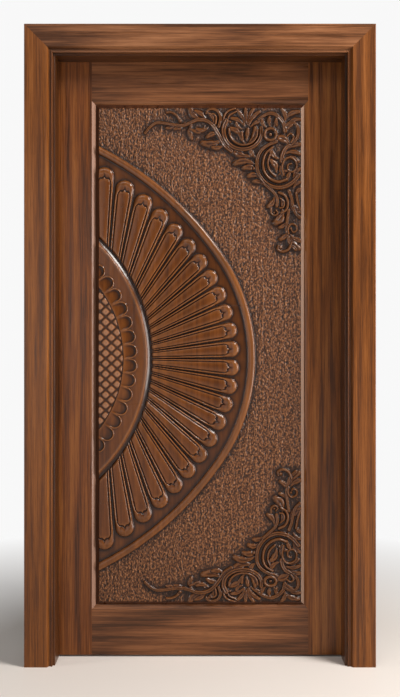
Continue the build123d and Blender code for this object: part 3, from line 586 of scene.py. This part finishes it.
def carving_tile(name, row0, row1):
    """One band of the carving, from row to row, as a closed slab on the panel's backing."""
    rows = row1 - row0 + 1
    cols = len(xs)
    band = slice(row0, row1 + 1)
    top = np.stack([X[band], GROUND_Y - height[band], Z[band]], axis=-1).reshape(-1, 3)
    edge = list(range(cols))
    edge += [r * cols + cols - 1 for r in range(1, rows)]
    edge += [(rows - 1) * cols + c for c in range(cols - 2, -1, -1)]
    edge += [r * cols for r in range(rows - 2, 0, -1)]
    foot = top[edge].copy()
    foot[:, 1] = BACKING_Y
    points = np.concatenate([top, foot]) * MM
    grid = np.arange(rows * cols).reshape(rows, cols)
    quads = np.stack([grid[:-1, :-1], grid[:-1, 1:], grid[1:, 1:], grid[1:, :-1]], axis=-1)
    quads = quads.reshape(-1, 4)
    faces = quads.tolist()
    base = rows * cols
    count = len(edge)
    for index in range(count):
        after = (index + 1) % count
        faces.append([edge[after], edge[index], base + index, base + after])
    faces.append([base + index for index in range(count - 1, -1, -1)])
    mesh = bpy.data.meshes.new(name)
    mesh.from_pydata(points.tolist(), [], faces)
    mesh.update()
    mesh.shade_smooth()
    carved_faces = np.ones(len(faces), dtype=bool)
    carved_faces[len(quads):] = False
    mesh.polygons.foreach_set("use_smooth", carved_faces)
    for label, field in FIELDS.items():
        values = np.concatenate([field[band].reshape(-1), np.zeros(count)])
        layer = mesh.attributes.new(label, "FLOAT", "POINT")
        layer.data.foreach_set("value", values.astype(np.float32))
    piece = bpy.data.objects.new(name, mesh)
    bpy.context.collection.objects.link(piece)
    return piece


TILE_COUNT = 5
TILE_ROWS = (ROWS - 1) // TILE_COUNT
tiles = []
for number in range(TILE_COUNT):
    tiles.append(carving_tile(f"carving_{number + 1}", number * TILE_ROWS, (number + 1) * TILE_ROWS))


def rectangle(out, y):
    """Four corners of the panel's shoulder, moved out by so much."""
    x = SHOULDER_X + out
    low = SHOULDER_BOTTOM - out
    high = SHOULDER_TOP + out
    return [(-x, y, low), (x, y, low), (x, y, high), (-x, y, high)]


def panel_board():
    """The panel behind the carving: bevelled front, tongue, raised and fielded rear."""
    inwards = FIELD_X - SHOULDER_X
    rings = [
        rectangle(inwards, BACKING_Y), rectangle(inwards, GROUND_Y), rectangle(0, SHOULDER_Y),
        rectangle(0, TONGUE_FRONT_Y), rectangle(TONGUE_OUT, TONGUE_FRONT_Y),
        rectangle(TONGUE_OUT, TONGUE_REAR_Y), rectangle(0, REAR_SHOULDER_Y),
        rectangle(-REAR_FIELD_IN, REAR_FIELD_Y),
    ]
    points = [corner for ring_points in rings for corner in ring_points]
    faces = [[0, 1, 2, 3]]
    for level in range(len(rings) - 1):
        for side in range(4):
            after = (side + 1) % 4
            faces.append([4 * level + after, 4 * level + side, 4 * level + 4 + side, 4 * level + 4 + after])
    last = 4 * (len(rings) - 1)
    faces.append([last + 3, last + 2, last + 1, last])
    return flat_mesh("panel_board", points, faces)


board = panel_board()


# Materials


def linear(*rgb):
    """A colour as seen, 0 to 255, as the renderer's own numbers."""
    out = []
    for value in rgb:
        share = value / 255
        out.append(share / 12.92 if share <= 0.04045 else ((share + 0.055) / 1.055) ** 2.4)
    return (*out, 1.0)


VARNISH_SPECULAR = 0.30
WHITE = (1, 1, 1, 1)


class Nodes:
    """Short calls for making a material's nodes."""

    def __init__(self, name):
        self.material = bpy.data.materials.new(name)
        self.material.use_nodes = True
        self.tree = self.material.node_tree
        self.shader = self.tree.nodes["Principled BSDF"]

    def put(self, value, socket):
        if isinstance(value, bpy.types.NodeSocket):
            self.tree.links.new(value, socket)
        elif value is not None:
            socket.default_value = value

    def coordinates(self, scale, offset):
        source = self.tree.nodes.new("ShaderNodeTexCoord")
        mapping = self.tree.nodes.new("ShaderNodeMapping")
        self.tree.links.new(source.outputs["Object"], mapping.inputs["Vector"])
        mapping.inputs["Location"].default_value = offset
        mapping.inputs["Scale"].default_value = scale
        return mapping.outputs["Vector"]

    def noise(self, vector, scale, detail, roughness, distortion=0.0):
        node = self.tree.nodes.new("ShaderNodeTexNoise")
        self.put(vector, node.inputs["Vector"])
        node.inputs["Scale"].default_value = scale
        node.inputs["Detail"].default_value = detail
        node.inputs["Roughness"].default_value = roughness
        node.inputs["Distortion"].default_value = distortion
        return node.outputs["Fac"]

    def wave(self, vector, scale, distortion):
        node = self.tree.nodes.new("ShaderNodeTexWave")
        node.wave_type = "BANDS"
        node.bands_direction = "X"
        self.put(vector, node.inputs["Vector"])
        node.inputs["Scale"].default_value = scale
        node.inputs["Distortion"].default_value = distortion
        node.inputs["Detail"].default_value = 3.0
        node.inputs["Detail Scale"].default_value = 1.2
        return node.outputs["Fac"]

    def ramp(self, factor, *stops):
        node = self.tree.nodes.new("ShaderNodeValToRGB")
        self.put(factor, node.inputs["Fac"])
        points = node.color_ramp.elements
        while len(points) < len(stops):
            points.new(0.5)
        for point, (position, colour) in zip(points, stops):
            point.position = position
            point.color = colour
        return node.outputs["Color"]

    def math(self, operation, a, b):
        node = self.tree.nodes.new("ShaderNodeMath")
        node.operation = operation
        self.put(a, node.inputs[0])
        self.put(b, node.inputs[1])
        return node.outputs["Value"]

    def range(self, value, from_low, from_high, to_low, to_high):
        node = self.tree.nodes.new("ShaderNodeMapRange")
        self.put(value, node.inputs["Value"])
        node.inputs["From Min"].default_value = from_low
        node.inputs["From Max"].default_value = from_high
        node.inputs["To Min"].default_value = to_low
        node.inputs["To Max"].default_value = to_high
        return node.outputs["Result"]

    def times(self, value, factor):
        return self.math("MULTIPLY", value, factor)

    def plus(self, a, b):
        return self.math("ADD", a, b)

    def mix(self, factor, a, b, blend="MIX"):
        node = self.tree.nodes.new("ShaderNodeMix")
        node.data_type = "RGBA"
        node.blend_type = blend
        self.put(factor, node.inputs["Factor"])
        self.put(a, node.inputs[6])
        self.put(b, node.inputs[7])
        return node.outputs[2]

    def attribute(self, name):
        node = self.tree.nodes.new("ShaderNodeAttribute")
        node.attribute_name = name
        return node.outputs["Fac"]

    def facing(self):
        """The face's own direction in the world, and its parts in the piece's own axes."""
        facet = self.tree.nodes.new("ShaderNodeNewGeometry").outputs["True Normal"]
        own = self.tree.nodes.new("ShaderNodeVectorTransform")
        own.vector_type = "NORMAL"
        own.convert_from = "WORLD"
        own.convert_to = "OBJECT"
        self.put(facet, own.inputs["Vector"])
        parts = self.tree.nodes.new("ShaderNodeSeparateXYZ")
        self.put(own.outputs["Vector"], parts.inputs["Vector"])
        return facet, parts.outputs

    def bump(self, value, strength, distance, normal=None):
        node = self.tree.nodes.new("ShaderNodeBump")
        self.put(value, node.inputs["Height"])
        node.inputs["Strength"].default_value = strength
        node.inputs["Distance"].default_value = distance
        self.put(normal, node.inputs["Normal"])
        return node.outputs["Normal"]

    def finish(self, colour, roughness, normal, metallic=0.0, specular=VARNISH_SPECULAR):
        self.put(colour, self.shader.inputs["Base Color"])
        self.put(roughness, self.shader.inputs["Roughness"])
        self.put(normal, self.shader.inputs["Normal"])
        self.shader.inputs["Metallic"].default_value = metallic
        self.shader.inputs["Specular IOR Level"].default_value = specular
        return self.material


def grain_parts(kit, axis, seed):
    """Figure, streaks, fibres and pores of a board whose grain runs along an axis."""
    along = "XYZ".index(axis)
    offset = (1.7 * seed, 2.3 * seed, 3.1 * seed)

    def stretched(factor):
        scale = [1.0, 1.0, 1.0]
        scale[along] = factor
        return kit.coordinates(tuple(scale), offset)

    figure = kit.noise(stretched(0.10), 11.0, 5.0, 0.6, 1.2)
    streak = kit.noise(stretched(0.025), 62.0, 4.0, 0.6, 0.4)
    fibre = kit.noise(stretched(0.02), 260.0, 3.0, 0.6)
    pores = kit.noise(stretched(0.035), 620.0, 2.0, 0.5)
    return figure, streak, fibre, pores


WOOD_ROUGHNESS = 0.31
FIGURE_SHARE = 0.40
STREAK_SHARE = 0.48
FIBRE_SHARE = 0.44
RING_ACROSS = 0.8
RING_ALONG = 0.05
PORE_SHARE = 0.55
PORE_TINT = (60, 34, 18)
WOOD_BUMP = (0.22, 0.0006)
BEVEL_SHARE = 0.8


def wood(name, axis, seed, dark, mid, light, painted_highlight=None, painted_shade=None):
    """A varnished board. Its front faces can be darkened as painted shade, and its bevels that face right
    made pale as a painted highlight.
    """
    kit = Nodes(name)
    figure, streak, fibre, pores = grain_parts(kit, axis, seed)
    blend = kit.plus(kit.times(figure, FIGURE_SHARE), kit.times(streak, STREAK_SHARE))
    blend = kit.plus(blend, kit.times(fibre, FIBRE_SHARE))
    across = [RING_ACROSS] * 3
    across["XYZ".index(axis)] = RING_ALONG
    rings = kit.wave(kit.coordinates(tuple(across), (seed, 0.4 * seed, 0.7 * seed)), 9.0, 7.0)
    blend = kit.plus(blend, kit.range(rings, 0.0, 1.0, -0.07, 0.03))
    colour = kit.ramp(blend, (0.53, linear(*dark)), (0.66, linear(*mid)), (0.80, linear(*light)))
    ticks = kit.range(pores, 0.36, 0.46, 0.55, 1.0)
    dotted = kit.ramp(ticks, (0.0, linear(*PORE_TINT)), (1.0, WHITE))
    colour = kit.mix(PORE_SHARE, colour, dotted, "MULTIPLY")
    relief = kit.plus(kit.times(fibre, 0.5), kit.times(pores, 0.5))
    facet, parts = kit.facing()
    normal = kit.bump(relief, *WOOD_BUMP, facet)
    # Painted shade: faces that look to the front are mixed towards a dark tone
    if painted_shade:
        front = kit.range(parts["Y"], -0.5, -0.3, BEVEL_SHARE, 0.0)
        colour = kit.mix(front, colour, linear(*painted_shade))
    # Painted highlight: faces that turn right are mixed towards a pale tone
    if painted_highlight:
        right = kit.range(parts["X"], 0.35, 0.45, 0.0, BEVEL_SHARE)
        colour = kit.mix(right, colour, linear(*painted_highlight))
    roughness = kit.range(streak, 0.3, 0.7, WOOD_ROUGHNESS - 0.06, WOOD_ROUGHNESS + 0.08)
    return kit.finish(colour, roughness, normal)


CARVED_SEED = 21.0
PLAIN_TONES = ((58, 28, 6), (90, 47, 13), (114, 65, 23))
GROUND_TONES = ((38, 19, 8), (90, 52, 27), (152, 102, 68))
STAIN_AND_SHADE_TONE = (30, 15, 7)
DEEP_SHADE_TONE = (26, 11, 4)
WEAR_AND_SHEEN_TONE = (164, 112, 68)
FOLIAGE_TONE = (34, 15, 6)
DIAMOND_TONE = (170, 124, 94)
CARVED_BUMP = (0.5, 0.0012)


def tone_ramp(kit, factor, places, tones):
    """A ramp through tones at places."""
    return kit.ramp(factor, *[(place, linear(*tone)) for place, tone in zip(places, tones)])


def carved_wood(name):
    """Carved wood: dark antique stain and painted shade in the hollows and recesses, wear and a painted
    highlight light on the crests.
    """
    kit = Nodes(name)
    figure, streak, fibre, _ = grain_parts(kit, "Z", CARVED_SEED)
    hollow = kit.attribute("hollow")
    smooth_at = kit.attribute("polish")
    grain = kit.plus(kit.times(figure, 0.5), kit.times(streak, 0.5))
    plain = tone_ramp(kit, grain, (0.34, 0.52, 0.72), PLAIN_TONES)
    spots = kit.noise(kit.coordinates((1.0, 1.0, 0.5), (4.0, 4.0, 4.0)), 210.0, 5.0, 0.65)
    ground = tone_ramp(kit, spots, (0.34, 0.52, 0.68), GROUND_TONES)
    colour = kit.mix(smooth_at, ground, plain)
    # Antique stain and painted shade: the hollows are darkened
    stain_and_shade = kit.range(hollow, -1.1, 0.25, 0.0, 1.0)
    colour = kit.mix(stain_and_shade, kit.mix(0.78, colour, linear(*STAIN_AND_SHADE_TONE)), colour)
    # Painted shade: wider recesses are darkened further
    deep_shade = kit.range(kit.attribute("shade"), -3.0, -0.3, 0.0, 1.0)
    colour = kit.mix(deep_shade, kit.mix(0.68, colour, linear(*DEEP_SHADE_TONE)), colour)
    # Wear and painted highlight: crests are made lighter, less so where polished
    wear_and_sheen = kit.times(kit.range(hollow, 0.2, 1.8, 0.0, 0.42), kit.range(smooth_at, 0.0, 1.0, 1.0, 0.5))
    colour = kit.mix(wear_and_sheen, colour, linear(*WEAR_AND_SHEEN_TONE))
    colour = kit.mix(kit.times(kit.attribute("foliage"), 0.40), colour, linear(*FOLIAGE_TONE))
    colour = kit.mix(kit.times(kit.attribute("diamonds"), 0.45), colour, linear(*DIAMOND_TONE))
    roughness = kit.range(smooth_at, 0.0, 1.0, 0.38, 0.21)
    pits = kit.noise(kit.coordinates((1.0, 1.0, 0.3), (9.0, 2.0, 5.0)), 420.0, 4.0, 0.6)
    rough_at = kit.math("SUBTRACT", 1.0, smooth_at)
    pitting = kit.times(pits, kit.math("ADD", 0.12, kit.times(rough_at, 1.1)))
    relief = kit.plus(pitting, kit.times(fibre, 0.2))
    return kit.finish(colour, roughness, kit.bump(relief, *CARVED_BUMP))


def metal(name, dark, light, roughness, axis_scale):
    """Handled metal: brushed along one way, duller in patches."""
    kit = Nodes(name)
    patches = kit.noise(kit.coordinates((1, 1, 1), (3, 1, 2)), 60.0, 5.0, 0.6)
    brushed = kit.noise(kit.coordinates(axis_scale, (1, 2, 3)), 500.0, 3.0, 0.6)
    colour = kit.ramp(patches, (0.35, linear(*dark)), (0.65, linear(*light)))
    rough_at = kit.range(patches, 0.3, 0.7, roughness + 0.12, roughness)
    return kit.finish(colour, rough_at, kit.bump(brushed, 0.15, 0.0002), metallic=1.0, specular=0.5)


def dress(name, material):
    """Gives a CAD node its finish."""
    node = nodes[name]
    if not node.material_slots:
        node.data.materials.append(None)
    for place in node.material_slots:
        place.link = "OBJECT"
        place.material = material


# Dark, middle and light tones of each sort of board, and of lighter and darker copies that paint light and
# shade
CASING_SIDE = ((74, 39, 13), (106, 59, 20), (128, 77, 34))
# Painted light: the front head casing's tones are a lighter copy of the side casings'
CASING_HEAD_LIT = ((66, 37, 18), (108, 67, 39), (136, 90, 58))
# Painted shade: the jambs' tones are a darker copy, for the shade in the reveals
JAMB_PAINTED_SHADE = ((38, 18, 5), (68, 35, 10), (90, 50, 19))
STILE = ((60, 29, 7), (98, 51, 15), (124, 73, 30))
# Painted light: the right stile's tones are a lighter copy of the left stile's
STILE_RIGHT_LIT = ((72, 37, 10), (114, 63, 22), (140, 87, 40))
RAIL = ((60, 33, 14), (98, 58, 31), (126, 80, 48))

# Node, way of the grain, seed and tones
BOARDS = [
    ("front_casing_left", "Z", 1.0, CASING_SIDE),
    ("front_casing_right", "Z", 2.0, CASING_SIDE),
    ("front_casing_head", "X", 3.0, CASING_HEAD_LIT),
    ("rear_casing_left", "Z", 4.0, CASING_SIDE),
    ("rear_casing_right", "Z", 5.0, CASING_SIDE),
    ("rear_casing_head", "X", 6.0, CASING_SIDE),
    ("jamb_left", "Z", 7.0, JAMB_PAINTED_SHADE),
    ("jamb_right", "Z", 8.0, JAMB_PAINTED_SHADE),
    ("head_jamb", "X", 9.0, JAMB_PAINTED_SHADE),
    ("stile_left", "Z", 10.0, STILE),
    ("stile_right", "Z", 11.0, STILE_RIGHT_LIT),
    ("top_rail", "X", 12.0, RAIL),
    ("bottom_rail", "X", 13.0, RAIL),
]
# Painted highlight on the left stile's bevels that face right
PAINTED_HIGHLIGHTS = {"stile_left": (134, 100, 82)}
# Painted highlight on the panel board's bevels that face right
PANEL_PAINTED_HIGHLIGHT = (164, 134, 115)
# Painted shade on the panel board's faces that look to the front
PANEL_PAINTED_SHADE = (50, 24, 12)
for board_name, axis_name, seed_value, tones in BOARDS:
    material = wood(f"wood_{board_name}", axis_name, seed_value, *tones, painted_highlight=PAINTED_HIGHLIGHTS.get(board_name))
    dress(board_name, material)

brass = metal("aged_brass", (132, 98, 48), (186, 148, 82), 0.32, (1, 1, 0.05))
steel = metal("brushed_steel", (120, 118, 114), (176, 174, 170), 0.30, (1, 1, 0.05))
HINGE_HEIGHTS = (("top", 1934.0), ("middle", 1095.5), ("bottom", 257.0))
for place_name, _ in HINGE_HEIGHTS:
    dress(f"frame_flap_{place_name}", brass)
    dress(f"leaf_flap_{place_name}", brass)
    dress(f"hinge_pin_{place_name}", steel)

carved = carved_wood("carved_panel_wood")
for tile in tiles:
    tile.data.materials.append(carved)
board.data.materials.append(
    wood("wood_panel_board", "Z", 14.0, *STILE, painted_highlight=PANEL_PAINTED_HIGHLIGHT, painted_shade=PANEL_PAINTED_SHADE))
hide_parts("carved_panel")
for piece in [board] + tiles:
    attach(piece, "leaf")


# Hinge screws: countersunk heads with a cross recess, let in almost flush

SCREW_R = 4.0
SCREW_PROUD = 0.4
SCREW_STEPS = 24
FRAME_FLAP_X = -512.0
LEAF_FLAP_X = -509.0
SCREW_FOOT = -0.3
SCREW_ARRIS = 0.5
SCREW_SIDE = 0.12
RECESS_FLOOR = -0.2
RECESS_TAPER = 0.8
SCREW_PLACES = ((56.0, 35.0), (44.0, 11.7), (56.0, -11.7), (44.0, -35.0))


def screw(name, x, y, z, facing):
    """One screw head, facing along X."""
    rings = [(SCREW_R, SCREW_FOOT), (SCREW_R, SCREW_SIDE), (SCREW_R - SCREW_ARRIS, SCREW_PROUD),
             (None, SCREW_PROUD), (None, RECESS_FLOOR)]
    points = []
    for radius, out in rings:
        for step in range(SCREW_STEPS):
            angle = 2 * math.pi * step / SCREW_STEPS
            cross = 0.7 + 1.6 * abs(math.cos(2 * angle)) ** 8
            r = (cross if out > 0 else cross * RECESS_TAPER) if radius is None else radius
            points.append((x + facing * out, y + r * math.cos(angle), z + r * math.sin(angle)))
    faces = []
    for level in range(len(rings) - 1):
        for step in range(SCREW_STEPS):
            after = (step + 1) % SCREW_STEPS
            a, b = level * SCREW_STEPS + step, level * SCREW_STEPS + after
            quad = [a, b, b + SCREW_STEPS, a + SCREW_STEPS]
            faces.append(quad if facing > 0 else quad[::-1])
    last = (len(rings) - 1) * SCREW_STEPS
    floor = list(range(last, last + SCREW_STEPS))
    back = list(range(SCREW_STEPS - 1, -1, -1))
    faces.append(floor if facing > 0 else floor[::-1])
    faces.append(back if facing > 0 else back[::-1])
    return flat_mesh(name, points, faces)


for place_name, centre_z in HINGE_HEIGHTS:
    for number, (y, up) in enumerate(SCREW_PLACES):
        for body, face_x, facing in (("frame", FRAME_FLAP_X, 1), ("leaf", LEAF_FLAP_X, -1)):
            head = screw(f"{body}_screw_{place_name}_{number + 1}", face_x, y, centre_z + up, facing)
            head.data.materials.append(brass)
            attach(head, body)


# Camera, light and floor

CAMERA_HEIGHT = 1.185
CAMERA_Y = -3.484
LENS = 51.2
SENSOR = 36.0
SHIFT_Y = -0.038

camera_data = bpy.data.cameras.new("camera")
camera_data.lens = LENS
camera_data.sensor_width = SENSOR
camera_data.shift_y = SHIFT_Y
camera = bpy.data.objects.new("camera", camera_data)
camera.location = (0.0, CAMERA_Y, CAMERA_HEIGHT)
camera.rotation_euler = (math.radians(90), 0, 0)
bpy.context.collection.objects.link(camera)
bpy.context.scene.camera = camera


# Name, place, point aimed at, watts, width and height, colour
LAMPS = [
    ("key", (2.4, -1.7, 3.9), (0, 0, 1.1), 165.0, (1.2, 0.9), (1.0, 0.96, 0.91)),
    ("side", (3.0, -1.45, 1.15), (0, 0, 1.05), 120.0, (1.3, 2.3), (1.0, 0.97, 0.94)),
    ("top", (-0.6, -2.4, 3.9), (0, 0, 1.1), 26.0, (2.0, 0.8), (1.0, 0.97, 0.93)),
    ("left", (-3.0, -0.85, 1.15), (0, 0, 1.05), 24.0, (0.4, 2.1), (1.0, 0.97, 0.93)),
    ("fill", (-1.6, -4.4, 1.4), (0, 0, 1.0), 20.0, (2.0, 2.0), (1.0, 0.98, 0.95)),
]

for name, place, aim, energy, size, colour in LAMPS:
    lamp_data = bpy.data.lights.new(name, "AREA")
    lamp_data.energy = energy
    lamp_data.color = colour
    lamp_data.shape = "RECTANGLE"
    lamp_data.size, lamp_data.size_y = size
    lamp = bpy.data.objects.new(name, lamp_data)
    lamp.location = place
    lamp.rotation_euler = (Vector(aim) - Vector(place)).to_track_quat("-Z", "Y").to_euler()
    bpy.context.collection.objects.link(lamp)

# The world: a dim light on the object, a near white for camera and transmission rays, some of it in gloss
AMBIENT = 0.13
BACKDROP = 0.94
GLOSSY_SHARE = 0.15

world = bpy.data.worlds.new("world")
world.use_nodes = True
bpy.context.scene.world = world
tree = world.node_tree
background = tree.nodes["Background"]
path = tree.nodes.new("ShaderNodeLightPath")
glossy = tree.nodes.new("ShaderNodeMath")
glossy.operation = "MULTIPLY"
glossy.inputs[1].default_value = GLOSSY_SHARE
tree.links.new(path.outputs["Is Glossy Ray"], glossy.inputs[0])
shown = glossy.outputs["Value"]
for ray_kind in ("Is Camera Ray", "Is Transmission Ray"):
    either = tree.nodes.new("ShaderNodeMath")
    either.operation = "MAXIMUM"
    tree.links.new(path.outputs[ray_kind], either.inputs[0])
    tree.links.new(shown, either.inputs[1])
    shown = either.outputs["Value"]
strength = tree.nodes.new("ShaderNodeMapRange")
tree.links.new(shown, strength.inputs["Value"])
strength.inputs["To Min"].default_value = AMBIENT
strength.inputs["To Max"].default_value = BACKDROP
tree.links.new(strength.outputs["Result"], background.inputs["Strength"])
background.inputs["Color"].default_value = WHITE

# The floor takes the object's shadow and fades into the backdrop
FLOOR_HALF = 14.0
FLOOR_TONE = (222, 215, 209)
FADE_FROM = 0.8
FADE_TO = 2.2

floor_mesh = bpy.data.meshes.new("floor")
floor_mesh.from_pydata([(-FLOOR_HALF, -FLOOR_HALF, 0), (FLOOR_HALF, -FLOOR_HALF, 0),
                        (FLOOR_HALF, FLOOR_HALF, 0), (-FLOOR_HALF, FLOOR_HALF, 0)], [], [(0, 1, 2, 3)])
floor = bpy.data.objects.new("floor", floor_mesh)
bpy.context.collection.objects.link(floor)
kit = Nodes("floor")
away = kit.tree.nodes.new("ShaderNodeVectorMath")
away.operation = "LENGTH"
kit.tree.links.new(kit.coordinates((1, 1, 1), (0, 0, 0)), away.inputs[0])
fade = kit.range(away.outputs["Value"], FADE_FROM, FADE_TO, 0.0, 1.0)
near_floor = kit.finish(linear(*FLOOR_TONE), 0.5, None)
glow = kit.tree.nodes.new("ShaderNodeEmission")
glow.inputs["Strength"].default_value = BACKDROP
blend = kit.tree.nodes.new("ShaderNodeMixShader")
ray = kit.tree.nodes.new("ShaderNodeLightPath")
shown = kit.math("MAXIMUM", ray.outputs["Is Camera Ray"], ray.outputs["Is Glossy Ray"])
shown = kit.math("MAXIMUM", shown, ray.outputs["Is Transmission Ray"])
kit.tree.links.new(kit.times(fade, shown), blend.inputs["Fac"])
kit.tree.links.new(kit.shader.outputs["BSDF"], blend.inputs[1])
kit.tree.links.new(glow.outputs["Emission"], blend.inputs[2])
kit.tree.links.new(blend.outputs["Shader"], kit.tree.nodes["Material Output"].inputs["Surface"])
floor_mesh.materials.append(near_floor)

bpy.context.scene.view_settings.view_transform = "Standard"
